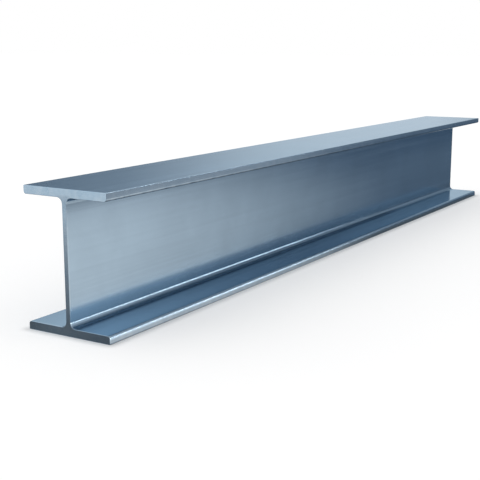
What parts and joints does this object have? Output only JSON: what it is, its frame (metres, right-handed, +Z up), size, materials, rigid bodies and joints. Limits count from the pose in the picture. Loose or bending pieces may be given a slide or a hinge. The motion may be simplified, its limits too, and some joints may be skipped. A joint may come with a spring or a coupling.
{
  "type": "steel i-beam",
  "caption": "Straight length of hot-rolled wide-flange steel I-beam with parallel flanges and a central web, saw-cut square at both ends.",
  "frame": {"origin": "middle of the beam's length and of its width, on the plane that its bottom flange lies on", "axes": "+X along the beam, away from the end that is nearer in the picture; +Y across the flanges, away from the picture's viewer; +Z up, along the web's depth"},
  "size_m": [2.7, 0.257, 0.363],
  "materials": {
    "mill_steel": "clean satin blue-grey rolled steel with faint lengthwise rolling lines"
  },
  "bodies": {
    "root": {"i_beam": "mill_steel"}
  },
  "joints": []
}
